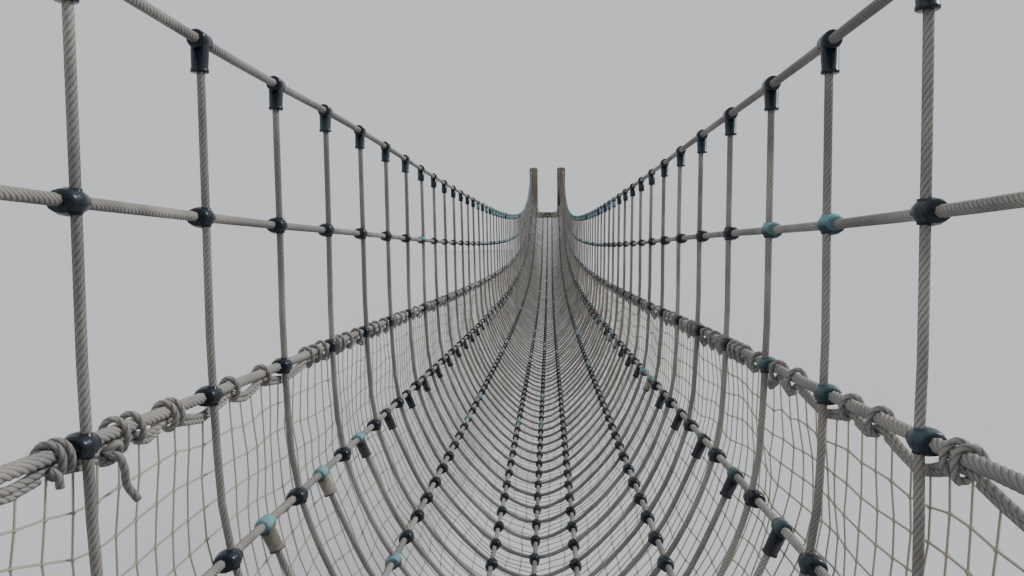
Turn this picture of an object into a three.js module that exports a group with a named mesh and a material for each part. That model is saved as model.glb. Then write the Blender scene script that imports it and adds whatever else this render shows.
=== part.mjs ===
// A rope suspension footbridge: a sagging trough of ropes between two pairs of timber posts.
// Thirteen ropes run along it. U-shaped hanger ropes cross them at an even pitch, from the left top
// rope down under the floor and up to the right top rope. Halfway between them, shorter cross ropes
// hang from the fourth rope of one side to that of the other. Millimetres, +Y along the walk, +Z up.
// The origin is on the underside of the near sill, midway between the near posts.
import * as THREE from 'three';

// The walk
const PITCH = 380;
const PITCHES = 78;
const SPAN = PITCH * PITCHES;
const SAG = 890;
const SKEW = 0.3;
const WAIST = 0.17;

// The ends
const POST_WIDTH = 260;
const POST_DEPTH = 240;
const POST_HEIGHT = 1600;
const POST_CENTRE = 435;
const SILL_HEIGHT = 180;
const FLOOR_START = 90;
const GAP = 0.3;

// The section, on the right of the centre line: half width and height above the centre rope
const SECTION = {
  top: { across: 500, up: 1345, radius: 9 },
  second: { across: 500, up: 1065, radius: 8 },
  handrail: { across: 494, up: 792, radius: 11 },
  tee: { across: 466, up: 521, radius: 8 },
  edge: { across: 340, up: 256, radius: 8 },
  inner: { across: 134, up: 49, radius: 8 },
  centre: { across: 0, up: 0, radius: 8 },
};
const HANGER_RADIUS = 7;

// Each strip of the lattice: the rope fused with the hangers, the ropes that it hangs between, and
// what crosses it halfway between two hangers
const STRIPS = [
  { name: 'upper_side_net', rope: 'second', above: 'top', below: 'handrail', between: 'nothing', bays: 3 },
  { name: 'lower_side_net', rope: 'tee', above: 'handrail', below: 'edge', between: 'lower arm', bays: 3 },
  { name: 'floor_net', rope: 'inner', above: 'edge', below: 'centre', between: 'both arms', bays: 6 },
];

const RIGHT = 1;
const LEFT = -1;
const SIDES = [{ name: 'left', sign: LEFT }, { name: 'right', sign: RIGHT }];

const material = (color, roughness, metalness = 0) =>
  new THREE.MeshStandardMaterial({ color, roughness, metalness });
const ropeFinish = material(0x8d867b, 0.9);
const handrailFinish = material(0x8f8c86, 0.95);
const hangerFinish = material(0x857e73, 0.9);
const timberFinish = material(0x6e5a45, 0.85);

const bridge = new THREE.Group();

function addMesh(name, geometry, finish) {
  const mesh = new THREE.Mesh(geometry, finish);
  mesh.name = name;
  bridge.add(mesh);
  return mesh;
}

// Height of the floor line at a fraction of the span: a parabola whose lowest point lies past midway.
function floorHeight(t) {
  return FLOOR_START - 4 * SAG * t * (1 - t) * (1 + SKEW * (2 * t - 1));
}

function floorSlope(t) {
  const step = 1e-4;
  return (floorHeight(t + step) - floorHeight(t - step)) / (2 * step * SPAN);
}

// The trough draws in towards midway.
function widthFactor(t) {
  return 1 - WAIST * (4 * t * (1 - t)) ** 2;
}

// A station's floor point, its upward direction and its width factor. The section stands square to the
// floor line, and plumb at the posts.
function plainStation(k) {
  const t = k / PITCHES;
  const atPost = k === 0 || k === PITCHES;
  const lean = atPost ? 0 : Math.atan(floorSlope(t));
  return {
    floor: new THREE.Vector3(0, POST_DEPTH / 2 + k * PITCH, floorHeight(t)),
    up: new THREE.Vector3(0, -Math.sin(lean), Math.cos(lean)),
    width: widthFactor(t),
  };
}

// The ropes are straight over two pitches, so every place between two even stations is worked out
// from those two.
function station(k) {
  const from = Math.min(2 * Math.floor(k / 2), PITCHES - 2);
  const start = plainStation(from);
  const end = plainStation(from + 2);
  const share = (k - from) / 2;
  return {
    floor: start.floor.lerp(end.floor, share),
    up: start.up.lerp(end.up, share),
    width: start.width + (end.width - start.width) * share,
  };
}

// Where a rope of the right side passes a station.
function ropePoint(rope, k) {
  const { floor, up, width } = station(k);
  const { across, up: height } = SECTION[rope];
  return floor.clone().addScaledVector(up, height).add(new THREE.Vector3(across * width, 0, 0));
}

// The line of one rope from post face to post face, with its points at the even stations.
class RopeLine extends THREE.Curve {
  constructor(rope, sign) {
    super();
    this.rope = rope;
    this.sign = sign;
  }

  getPoint(t, target = new THREE.Vector3()) {
    const point = ropePoint(this.rope, t * PITCHES);
    point.x *= this.sign;
    point.y += GAP * (1 - 2 * t);
    return target.copy(point);
  }

  getPointAt(t, target) {
    return this.getPoint(t, target);
  }

  // The rope meets the posts squarely, so that its ends lie flat on them.
  getTangentAt(t, target = new THREE.Vector3()) {
    return t === 0 || t === 1 ? target.set(0, 1, 0) : this.getTangent(t, target);
  }
}

// A rope on its own, made from end to end with a square section.
function ropeGeometry(rope, sign) {
  const { radius } = SECTION[rope];
  const section = new THREE.Shape([
    new THREE.Vector2(-radius, -radius),
    new THREE.Vector2(radius, -radius),
    new THREE.Vector2(radius, radius),
    new THREE.Vector2(-radius, radius),
  ]);
  return new THREE.ExtrudeGeometry(section, {
    steps: PITCHES / 2,
    bevelEnabled: false,
    extrudePath: new RopeLine(rope, sign),
  });
}

// Collects the faces of one strip. The strip is worked out on the right side, and the left one is its
// mirror image.
class Strip {
  constructor(sign) {
    this.sign = sign;
    this.positions = [];
  }

  triangle(a, b, c) {
    const order = this.sign === RIGHT ? [a, b, c] : [a, c, b];
    for (const point of order) {
      this.positions.push(point.x * this.sign, point.y, point.z);
    }
  }

  quad(a, b, c, d) {
    this.triangle(a, b, c);
    this.triangle(a, c, d);
  }

  // A bar from one ring to the next. A ring holds its two inner corners and its outer ridge.
  bar(from, to) {
    this.quad(from.low, from.high, to.high, to.low);
    this.quad(from.high, from.ridge, to.ridge, to.high);
    this.quad(from.ridge, from.low, to.low, to.ridge);
  }

  startCap(ring) {
    this.triangle(ring.low, ring.ridge, ring.high);
  }

  endCap(ring) {
    this.triangle(ring.high, ring.ridge, ring.low);
  }

  geometry() {
    const geometry = new THREE.BufferGeometry();
    geometry.setAttribute('position', new THREE.Float32BufferAttribute(this.positions, 3));
    geometry.computeVertexNormals();
    return geometry;
  }
}

// The end ring of a bar that points along the given direction, with its ridge on the outer side.
function endRing(point, side, outward, halfWidth, halfDepth) {
  const inner = point.clone().addScaledVector(outward, -halfDepth);
  return {
    high: inner.clone().addScaledVector(side, halfWidth),
    low: inner.clone().addScaledVector(side, -halfWidth),
    ridge: point.clone().addScaledVector(outward, halfDepth),
  };
}

// How far from a rope's axis a hanger that meets it at a slant stops, clear of the rope's flat side
// where the slant is slight and otherwise of its corner.
function standOff(rope, direction) {
  const { radius } = SECTION[rope];
  const flatwise = Math.abs(direction.x);
  const upright = Math.hypot(direction.y, direction.z);
  const slant = Math.atan2(Math.min(flatwise, upright), Math.max(flatwise, upright));
  const toSide = radius / Math.cos(slant) + HANGER_RADIUS * Math.tan(slant);
  const toCorner = radius * (Math.cos(slant) + Math.sin(slant));
  return Math.min(toSide, toCorner) + GAP;
}

// The four inner corners and the ridge point where a hanger crosses the strip's own rope.
function crossing(strip, k) {
  const middle = ropePoint(strip.rope, k);
  const along = ropePoint(strip.rope, k + 0.5).sub(ropePoint(strip.rope, k - 0.5)).normalize();
  const toAbove = ropePoint(strip.above, k).sub(middle).normalize();
  const toBelow = ropePoint(strip.below, k).sub(middle).normalize();
  const upward = toAbove.clone().sub(toBelow).normalize();
  const outward = along.clone().cross(upward).normalize();
  const { radius } = SECTION[strip.rope];
  const inner = middle.clone().addScaledVector(outward, -radius);
  const corner = (ahead, higher) => inner.clone()
    .addScaledVector(along, ahead * HANGER_RADIUS)
    .addScaledVector(upward, higher * radius);
  return {
    middle,
    along,
    toAbove,
    toBelow,
    aheadHigh: corner(1, 1),
    aheadLow: corner(1, -1),
    behindHigh: corner(-1, 1),
    behindLow: corner(-1, -1),
    ridge: middle.clone().addScaledVector(outward, radius),
  };
}

// One arm of a cross rope, from the crossing to just short of a neighbouring rope. The turn says which
// way round the crossing's corners face.
function addArm(faces, at, rope, direction, root, turn) {
  const tip = ropePoint(rope, at.k).addScaledVector(direction, -standOff(rope, direction));
  const side = at.along.clone().multiplyScalar(turn);
  const outward = direction.clone().cross(side).normalize();
  const end = endRing(tip, side, outward, HANGER_RADIUS, HANGER_RADIUS);
  faces.bar(root, end);
  faces.endCap(end);
}

// The cross rope at a crossing: a hanger has both arms, and a cross rope that starts here only its
// lower one.
function addCrossRope(faces, strip, at) {
  const upperRoot = { high: at.behindHigh, low: at.aheadHigh, ridge: at.ridge };
  const lowerRoot = { high: at.aheadLow, low: at.behindLow, ridge: at.ridge };
  if (at.isHanger || strip.between === 'both arms') {
    addArm(faces, at, strip.above, at.toAbove, upperRoot, -1);
  } else {
    faces.endCap(upperRoot);
  }
  addArm(faces, at, strip.below, at.toBelow, lowerRoot, 1);
}

// The end ring of a strip's rope, at a post or where the next bay goes on.
function ropeEnd(strip, k, inwards, at) {
  const atPost = k === 0 || k === PITCHES;
  const point = ropePoint(strip.rope, k);
  point.y += inwards * (atPost ? GAP : GAP / 2);
  const upward = at.toAbove.clone().sub(at.toBelow).setY(0).normalize();
  const outward = new THREE.Vector3(0, 1, 0).cross(upward);
  const { radius } = SECTION[strip.rope];
  return endRing(point, upward, outward, radius, radius);
}

// One bay of a strip: its rope, with the cross ropes of its stations. Bays meet a quarter of a pitch
// past a hanger, clear of both kinds of cross rope.
function stripGeometry(strip, bay, sign) {
  const perBay = PITCHES / strip.bays;
  const start = bay === 0 ? 0 : bay * perBay + 0.25;
  const stop = bay === strip.bays - 1 ? PITCHES : (bay + 1) * perBay + 0.25;
  const step = strip.between === 'nothing' ? 1 : 0.5;
  const crossings = [];
  for (let k = Math.floor(start) + step; k < stop; k += step) {
    crossings.push({ k, isHanger: Number.isInteger(k), ...crossing(strip, k) });
  }

  const faces = new Strip(sign);
  const startRing = ropeEnd(strip, start, 1, crossings[0]);
  const stopRing = ropeEnd(strip, stop, -1, crossings[crossings.length - 1]);
  faces.startCap(startRing);
  let ring = startRing;
  for (const at of crossings) {
    faces.bar(ring, { high: at.behindHigh, low: at.behindLow, ridge: at.ridge });
    faces.quad(at.behindLow, at.behindHigh, at.aheadHigh, at.aheadLow);
    addCrossRope(faces, strip, at);
    ring = { high: at.aheadHigh, low: at.aheadLow, ridge: at.ridge };
  }
  faces.bar(ring, stopRing);
  faces.endCap(stopRing);
  return faces.geometry();
}

// The ropes that run from post to post on their own
for (const side of SIDES) {
  addMesh(`${side.name}_top_rope`, ropeGeometry('top', side.sign), ropeFinish);
  addMesh(`${side.name}_handrail_rope`, ropeGeometry('handrail', side.sign), handrailFinish);
  addMesh(`${side.name}_floor_edge_rope`, ropeGeometry('edge', side.sign), ropeFinish);
}
addMesh('centre_floor_rope', ropeGeometry('centre', RIGHT), ropeFinish);

// The lattice of hangers, in bays
for (const side of SIDES) {
  for (const strip of STRIPS) {
    for (let bay = 0; bay < strip.bays; bay += 1) {
      addMesh(`${side.name}_${strip.name}_${bay + 1}`, stripGeometry(strip, bay, side.sign), hangerFinish);
    }
  }
}

// The posts and the sill of each end
const sillLength = 2 * (POST_CENTRE - POST_WIDTH / 2 - GAP);
for (const end of [{ name: 'near', y: 0 }, { name: 'far', y: SPAN + POST_DEPTH }]) {
  for (const side of SIDES) {
    const post = addMesh(
      `${end.name}_${side.name}_post`,
      new THREE.BoxGeometry(POST_WIDTH, POST_DEPTH, POST_HEIGHT),
      timberFinish,
    );
    post.position.set(side.sign * POST_CENTRE, end.y, POST_HEIGHT / 2);
  }
  const sill = addMesh(
    `${end.name}_sill`,
    new THREE.BoxGeometry(sillLength, POST_DEPTH, SILL_HEIGHT),
    timberFinish,
  );
  sill.position.set(0, end.y, SILL_HEIGHT / 2);
}

export default bridge;
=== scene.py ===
"""Dresses a rope suspension footbridge: laid ropes, moulded connectors, lashing, netting and timber."""

import math

import bpy
import numpy as np
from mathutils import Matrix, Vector


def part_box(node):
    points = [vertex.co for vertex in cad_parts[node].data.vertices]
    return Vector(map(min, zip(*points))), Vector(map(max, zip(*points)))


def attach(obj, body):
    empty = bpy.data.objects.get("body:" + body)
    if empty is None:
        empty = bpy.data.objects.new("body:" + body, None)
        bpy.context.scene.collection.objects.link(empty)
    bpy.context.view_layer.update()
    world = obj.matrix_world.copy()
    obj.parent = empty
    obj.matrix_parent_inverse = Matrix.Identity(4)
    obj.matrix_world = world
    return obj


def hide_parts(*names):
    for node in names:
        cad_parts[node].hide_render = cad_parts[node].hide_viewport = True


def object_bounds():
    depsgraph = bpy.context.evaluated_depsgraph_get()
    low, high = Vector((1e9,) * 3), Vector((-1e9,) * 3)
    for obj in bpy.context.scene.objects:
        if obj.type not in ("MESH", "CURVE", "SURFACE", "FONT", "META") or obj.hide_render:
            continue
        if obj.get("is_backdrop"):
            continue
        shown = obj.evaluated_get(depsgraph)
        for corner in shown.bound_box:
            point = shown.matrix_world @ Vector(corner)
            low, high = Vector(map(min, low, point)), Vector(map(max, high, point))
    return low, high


bl_info = {
    "name": "Rope Footbridge",
    "version": (1, 0, 0),
    "blender": (4, 5, 0),
    "location": "View3D > Sidebar > Footbridge",
    "description": "Builds the ropes, connectors, netting and timber of a rope suspension footbridge",
    "category": "Add Mesh",
}

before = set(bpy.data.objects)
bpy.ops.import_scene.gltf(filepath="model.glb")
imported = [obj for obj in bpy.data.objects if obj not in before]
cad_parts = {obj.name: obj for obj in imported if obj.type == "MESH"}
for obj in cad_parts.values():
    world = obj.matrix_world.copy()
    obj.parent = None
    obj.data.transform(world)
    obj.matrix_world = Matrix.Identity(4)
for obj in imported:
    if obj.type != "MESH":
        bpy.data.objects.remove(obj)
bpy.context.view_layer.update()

# The walk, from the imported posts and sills
FACE_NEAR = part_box("near_left_post")[1].y
FACE_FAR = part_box("far_left_post")[0].y
SPAN = FACE_FAR - FACE_NEAR
FLOOR_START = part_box("near_sill")[1].z / 2
PITCHES = 78
PITCH = SPAN / PITCHES
SAG = 0.89
SKEW = 0.30
WAIST = 0.17

# The ropes' places in the section on the right: half width and height above the floor's line.
# The frame's ropes lie on one line with the hangers. Below the top one, these lie 6 mm outside it.
TOP = (0.500, 1.345)
SECOND = (0.506, 1.064)
HANDRAIL = (0.500, 0.790)
FOURTH = (0.4715, 0.5185)
EDGE = (0.345, 0.2525)
INNER = (0.1376, 0.0442)
CENTRE = (0.0, -0.006)
HALF_SECTION = [TOP, SECOND, HANDRAIL, FOURTH, EDGE, INNER, CENTRE]

# Where a hanger crosses a long rope it passes on the rope's inner side, by so much
INSET = 0.011

# Stations of the hangers, of the shorter cross ropes between them, and of both
HANGERS = np.arange(1.0, PITCHES)
BETWEEN = np.arange(0.5, PITCHES)
CROSSINGS = np.sort(np.concatenate([HANGERS, BETWEEN]))

# Stations where the long ropes pass into their end splices
ROPE_START = 0.42
ROPE_END = PITCHES - ROPE_START

UP = np.array([0.0, 0.0, 1.0])
LEFT = -1
RIGHT = 1
SIDES = {"left": LEFT, "right": RIGHT}
ENDS = ("near", "far")

# On the right the tops of the hangers lean towards the far end, most at the sixth one
LEAN = 0.075
LEAN_AT = 6
LEAN_SPREAD = 1.17
LEAN_SHARES = (0.0, 0.56, 0.66, 0.78)

# The open, sunny part of the walk: its first and last stations, and the length of each edge
OPEN_WALK = (17, PITCHES - 8)
OPEN_EDGE = 6

# How far the ropes above the fourth have settled out of line on each side:
# height in the section, lift about the near station, lift along the rest of the walk.
# The settling dies out towards each end over so many stations.
SETTLED_AT = 6.8
SETTLED_SPREAD = 2.2
SETTLED_END = 9
SETTLED = {
    LEFT: ((FOURTH[1], 0.0, 0.0), (HANDRAIL[1], -0.008, 0.0),
           (SECOND[1], 0.001, 0.007), (TOP[1], -0.004, 0.020)),
    RIGHT: ((FOURTH[1], 0.0, 0.0), (HANDRAIL[1], -0.0085, 0.0),
            (SECOND[1], -0.017, -0.008), (TOP[1], -0.0145, -0.006)),
}

# The depth of a post, which the eye bolts go through
POST_DEPTH = FACE_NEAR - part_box("near_left_post")[0].y

# Connectors near the walk's start are seen closely and get the finer form
FINE_TO = 12

# Where the photograph was taken from
CAMERA_PLACE = (0.0545, 1.4884, 0.9747)
CAMERA_PITCH = math.radians(-6.479)
CAMERA_TURN = math.radians(2.385)
CAMERA_ROLL = math.radians(0.564)
FOCAL_PIXELS = 885.0
IMAGE_WIDTH = 1024
SENSOR = 36.0


def length_property(name, description, default, low, high):
    return bpy.props.FloatProperty(
        name=name, description=description, default=default, min=low, max=high, unit="LENGTH")


def count_property(name, description, default, low, high):
    return bpy.props.IntProperty(name=name, description=description, default=default, min=low, max=high)


def colour_property(name, description, default):
    return bpy.props.FloatVectorProperty(
        name=name, description=description, default=default, size=3, min=0, max=1, subtype="COLOR")


class FootbridgeSizes(bpy.types.PropertyGroup):
    """Sizes of the bridge's ropes, connectors and netting"""

    rope: length_property("Rope", "Diameter of the long ropes", 0.016, 0.008, 0.03)
    hanger: length_property("Hanger", "Diameter of the hangers and cross ropes", 0.0138, 0.008, 0.03)
    handrail: length_property("Handrail", "Diameter of the handrail rope", 0.0188, 0.012, 0.04)
    lay: length_property("Lay", "Length of one full turn of the strands of the ropes", 0.060, 0.02, 0.2)
    handrail_lay: length_property(
        "Handrail Lay", "Length of one full turn of the handrail's strands", 0.084, 0.02, 0.2)
    ball: length_property(
        "Ball Connector", "Diameter of the moulded ball connectors", 0.036, 0.02, 0.08)
    tee_sleeve: length_property(
        "Tee Sleeve", "Length of a tee connector's sleeve, from the rope's middle", 0.050, 0.03, 0.12)
    lashing: length_property(
        "Lashing", "Diameter of the head rope and of the lashing", 0.0090, 0.006, 0.02)
    twine: length_property("Twine", "Diameter of the netting's twine", 0.0030, 0.001, 0.01)
    meshes_along: count_property("Meshes Along", "Net meshes in one pitch of the hangers", 7, 3, 12)
    meshes_round: count_property(
        "Meshes Round", "Net meshes from one handrail to the centre rope", 20, 8, 40)


class FootbridgeColours(bpy.types.PropertyGroup):
    """Colours of the bridge's finishes"""

    rope: colour_property("Rope", "Weathered taupe of the laid ropes", (0.128, 0.120, 0.114))
    rope_worn: colour_property(
        "Worn Rope", "Cream of the strands that sun and hands have bleached", (0.30, 0.28, 0.255))
    # Colour of the painted shade in the rope's grooves and of its grime
    rope_dirt_and_shade: colour_property("Rope Dirt", "Dark grime between the strands", (0.045, 0.038, 0.032))
    handrail: colour_property(
        "Handrail", "Weathered grey of the handrail and lashing", (0.155, 0.154, 0.155))
    twine: colour_property("Twine", "Pale tan of the netting", (0.60, 0.54, 0.43))
    connector: colour_property("Connector", "Black of the moulded connectors", (0.006, 0.009, 0.015))
    sleeve_bleached: colour_property(
        "Bleached Sleeve", "Sandy grey of the tee sleeves that lie in the sun", (0.23, 0.21, 0.165))
    # Colour of the sun fading, and of the painted sky sheen on connector tops
    connector_faded_and_sheen: colour_property(
        "Faded Connector", "Blue green of the connectors that the sun has faded", (0.14, 0.27, 0.30))
    timber: colour_property(
        "Timber", "Weathered grey brown of the posts and sills", (0.20, 0.155, 0.115))


# The bridge's form

def floor_height(share):
    """Height of the centre rope at a share of the span."""
    return FLOOR_START - 4 * SAG * share * (1 - share) * (1 + SKEW * (2 * share - 1))


def plain_station(k):
    """Floor point, upward direction and width factor at whole stations."""
    share = k / PITCHES
    step = 1e-4
    slope = (floor_height(share + step) - floor_height(share - step)) / (2 * step * SPAN)
    lean = np.where((k == 0) | (k == PITCHES), 0.0, np.arctan(slope))
    nothing = np.zeros_like(share)
    floor = np.stack([nothing, FACE_NEAR + k * PITCH, floor_height(share)], -1)
    up = np.stack([nothing, -np.sin(lean), np.cos(lean)], -1)
    width = 1 - WAIST * (4 * share * (1 - share)) ** 2
    return floor, up, width


def station(k):
    """The same at any stations. The ropes are straight over two pitches, as in the frame."""
    k = np.asarray(k, float)
    start = np.clip(2 * np.floor(k / 2), 0, PITCHES - 2)
    share = (k - start) / 2
    low, high = plain_station(start), plain_station(start + 2)
    floor = low[0] + (high[0] - low[0]) * share[..., None]
    up = low[1] + (high[1] - low[1]) * share[..., None]
    return floor, up, low[2] + (high[2] - low[2]) * share


def settled(across, height, k):
    """How far the ropes hang above or below their true line."""
    k = np.asarray(k, float)
    near = np.exp(-((k - SETTLED_AT) / SETTLED_SPREAD) ** 2)
    rest = (1 - near) * np.clip(np.minimum(k, PITCHES - k) / SETTLED_END, 0, 1)
    lift = 0.0
    for sign, rows in SETTLED.items():
        heights, close, further = zip(*rows)
        here = np.interp(height, heights, close) * near + np.interp(height, heights, further) * rest
        lift = lift + np.where(np.asarray(across) * sign > 0, here, 0.0)
    return lift


def on_bridge(across, height, k):
    """Points of the bridge, from their place in the section and their station."""
    floor, up, width = station(k)
    across = np.asarray(across, float)
    height = np.asarray(height, float)
    point = floor + up * height[..., None]
    point[..., 2] += settled(across, height, k)
    point[..., 0] = across * width
    return point


def hanger_station(k, across, height):
    """Where a hanger crosses at a place in the section, with the lean of its right top."""
    share = np.interp(height, (FOURTH[1], HANDRAIL[1], SECOND[1], TOP[1]), LEAN_SHARES)
    lean = LEAN * np.exp(-((np.asarray(k) - LEAN_AT) / LEAN_SPREAD) ** 2)
    return k + np.where(np.asarray(across) > 0, lean * share, 0.0) / PITCH


def in_the_open(k):
    """How far a station lies in the open, sunny middle of the walk, from 0 to 1."""
    first, last = OPEN_WALK
    return np.clip((k - first) / OPEN_EDGE, 0, 1) * np.clip((last - k) / OPEN_EDGE, 0, 1)


def rope_stations(fine, plain):
    """Stations of a long rope's points, at one distance where it is closely seen and then another."""
    return np.concatenate([np.arange(ROPE_START, FINE_TO, fine), np.arange(FINE_TO, ROPE_END, plain),
                           [ROPE_END]])


def along_at(k):
    """The direction of the walk at a station."""
    k, step = np.asarray(k, float), 0.1
    return unit(station(k + step)[0] - station(k - step)[0])


def unit(v):
    return v / np.maximum(np.linalg.norm(v, axis=-1, keepdims=True), 1e-12)


def square_to(v, along):
    """The direction nearest to v that is square to another."""
    return unit(v - (v * along).sum(-1, keepdims=True) * along)


def eased(share):
    """A share from 0 to 1 that starts and ends gently."""
    return share * share * (3 - 2 * share)


def smooth_curve(points, steps):
    """Points on a curve through the given ones. Steps are for each stretch, or one number for all."""
    points = np.asarray(points, float)
    steps = np.broadcast_to(steps, len(points) - 1)
    before = np.vstack([2 * points[:1] - points[1:2], points, 2 * points[-1:] - points[-2:-1]])
    out = [points[0]]
    for i, count in enumerate(steps):
        four = before[i:i + 4]
        knots = [0.0]
        for p, q in zip(four, four[1:]):
            knots.append(knots[-1] + max(np.linalg.norm(q - p), 1e-9) ** 0.5)
        for j in range(1, count + 1):
            t = knots[1] + (knots[2] - knots[1]) * j / count
            row = four
            for spans in (((0, 1), (1, 2), (2, 3)), ((0, 2), (1, 3)), ((1, 2),)):
                ends = [(knots[u], knots[v]) for u, v in spans]
                row = [(b - t) / (b - a) * p + (t - a) / (b - a) * q
                       for (a, b), p, q in zip(ends, row, row[1:])]
            out.append(row[0])
    return np.array(out)


def mirrored(half):
    """A section from the left top to the right top, from its right half listed downwards."""
    half = np.asarray(half, float)
    left = half * [-1, 1]
    return np.vstack([left, half[-2::-1]])


def smooth_noise(rng, shape, reach):
    """Seeded noise that changes slowly over so many steps, about 1 in size."""
    raw = rng.normal(size=shape)
    for axis, steps in enumerate(reach):
        if steps > 1:
            kernel = np.hanning(2 * steps + 1)[1:-1]
            kernel /= math.sqrt((kernel ** 2).sum())
            raw = np.apply_along_axis(lambda row: np.convolve(row, kernel, "same"), axis, raw)
    return raw


# Mesh making

def add_object(name, data):
    made = bpy.data.objects.new(name, data)
    bpy.context.scene.collection.objects.link(made)
    return made


class Batch:
    """Collects vertices and faces, each face's places in its pattern, and a shade for each vertex."""

    def __init__(self):
        self.points, self.faces, self.places, self.shades = [], [], [], []
        self.count = 0

    def add(self, points, faces, places=None, shade=0.0):
        """Adds a mesh. Faces are rows of vertex numbers, all with the same number of corners."""
        points = np.asarray(points, float).reshape(-1, 3)
        faces = np.asarray(faces, np.int64)
        if places is None:
            places = np.zeros(faces.shape + (2,))
        self.points.append(points)
        self.faces.append(faces + self.count)
        self.places.append(np.asarray(places, float).reshape(faces.shape + (2,)))
        self.shades.append(np.broadcast_to(np.asarray(shade, float), (len(points),)))
        self.count += len(points)

    def cap(self, faces):
        """Adds faces on vertices that are there already, with no places in the pattern."""
        self.faces.append(faces)
        self.places.append(np.zeros(faces.shape + (2,)))

    def piece(self, name, finish, slot, replaces=()):
        """Makes the object in a finish, rides it on the bridge and hides the frame's parts that it
        replaces.
        """
        mesh = bpy.data.meshes.new(name)
        points = np.concatenate(self.points)
        corners = np.concatenate([f.ravel() for f in self.faces])
        sizes = np.concatenate([np.full(len(f), f.shape[1]) for f in self.faces])
        starts = np.concatenate([[0], np.cumsum(sizes)[:-1]])
        mesh.vertices.add(len(points))
        mesh.vertices.foreach_set("co", points.astype(np.float32).ravel())
        mesh.loops.add(len(corners))
        mesh.loops.foreach_set("vertex_index", corners.astype(np.int32))
        mesh.polygons.add(len(sizes))
        mesh.polygons.foreach_set("loop_start", starts.astype(np.int32))
        mesh.polygons.foreach_set("use_smooth", np.full(len(sizes), True))
        pattern = mesh.uv_layers.new(name="Lay")
        flat = np.concatenate([p.reshape(-1, 2) for p in self.places])
        pattern.uv.foreach_set("vector", flat.astype(np.float32).ravel())
        shade = mesh.attributes.new("shade", "FLOAT", "POINT")
        shade.data.foreach_set("value", np.concatenate(self.shades).astype(np.float32))
        mesh.update(calc_edges=True)
        mesh.validate()
        mesh.materials.append(finish_named(finish))
        piece = add_object(name, mesh)
        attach(piece, "root")
        if replaces:
            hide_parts(*replaces)
        return piece


def repeated(faces, copies, vertices):
    """The faces of so many copies of a body, from those of the first and its number of vertices."""
    return (faces + np.arange(copies)[:, None, None] * vertices).reshape(-1, faces.shape[-1])


def ring_quads(rings, sides):
    """The quads of a tube whose rings' vertices follow each other, by ring and column."""
    r, c = np.meshgrid(np.arange(rings - 1), np.arange(sides), indexing="ij")
    following = (c + 1) % sides
    quads = np.stack([r * sides + c, r * sides + following,
                      (r + 1) * sides + following, (r + 1) * sides + c], -1)
    return quads.reshape(-1, 4)


def end_caps(rings, sides):
    """The faces that close a tube's two ends."""
    around = np.arange(sides)
    return np.array([around[::-1], (rings - 1) * sides + around])


def sweep(batch, paths, guide, radius, sides, lay=1.0, turn=0.0, profile=None, capped=True):
    """Tubes along paths of shape (tubes, points, 3). The guide says which way each ring's start faces.

    The pattern runs along in turns of the lay and round from 0 to 1. A profile scales the radius of
    each column, and turn twists the columns in radians at each point.
    """
    paths = np.asarray(paths, float)
    tubes, rings = paths.shape[:2]
    tangent = unit(np.gradient(paths, axis=1))
    first = square_to(np.broadcast_to(guide, paths.shape), tangent)
    second = np.cross(tangent, first)
    column = np.arange(sides) * 2 * np.pi / sides
    angle = column + np.asarray(turn, float)[..., None] * np.ones(sides)
    angle = np.broadcast_to(angle, (tubes, rings, sides))[..., None]
    scale = np.ones(sides) if profile is None else np.asarray(profile, float)
    reach = np.broadcast_to(np.asarray(radius, float)[..., None], (tubes, rings, 1)) * scale
    ring = first[:, :, None] * np.cos(angle) + second[:, :, None] * np.sin(angle)
    points = paths[:, :, None] + reach[..., None] * ring

    run = np.zeros((tubes, rings))
    run[:, 1:] = np.cumsum(np.linalg.norm(np.diff(paths, axis=1), axis=-1), 1) / lay
    around = np.arange(sides)
    low, high, left, right = np.broadcast_arrays(
        run[:, :-1, None], run[:, 1:, None], around / sides, (around + 1) / sides)
    places = np.stack([np.stack([low, left], -1), np.stack([low, right], -1),
                       np.stack([high, right], -1), np.stack([high, left], -1)], -2)
    start = batch.count
    batch.add(points, repeated(ring_quads(rings, sides), tubes, rings * sides), places.reshape(-1, 4, 2))
    if capped:
        ends = end_caps(rings, sides)[:, None] + np.arange(tubes)[:, None] * rings * sides
        batch.cap(ends.reshape(-1, sides) + start)


def turned(profile, sides):
    """A body turned about X from (place along X, radius) pairs: its vertices, quads and end caps."""
    profile = np.asarray(profile, float)
    angle = np.arange(sides) * 2 * np.pi / sides
    x = np.repeat(profile[:, 0], sides)
    y = (profile[:, 1, None] * np.cos(angle)).ravel()
    z = (profile[:, 1, None] * np.sin(angle)).ravel()
    return np.stack([x, y, z], -1), ring_quads(len(profile), sides), end_caps(len(profile), sides)


def facing(direction, hint):
    """Right-handed axes with X along a direction."""
    x = unit(np.asarray(direction, float))
    z = unit(np.cross(x, hint))
    return x, np.cross(z, x), z


def place_all(batch, body, places, axes, shade=0.0):
    """Copies of a turned body at each place, with its X, Y and Z along the given axes."""
    points, quads, caps = body
    places = np.asarray(places, float).reshape(-1, 3)
    axes = [np.broadcast_to(a, places.shape) for a in axes]
    spread = sum(points[:, i:i + 1] * axes[i][:, None] for i in range(3))
    moved = places[:, None] + spread
    tone = np.broadcast_to(np.asarray(shade, float), (len(places),)).repeat(len(points))
    first = batch.count
    batch.add(moved, repeated(quads, len(places), len(points)), shade=tone)
    batch.cap(repeated(caps, len(places), len(points)) + first)


# Finishes

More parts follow.
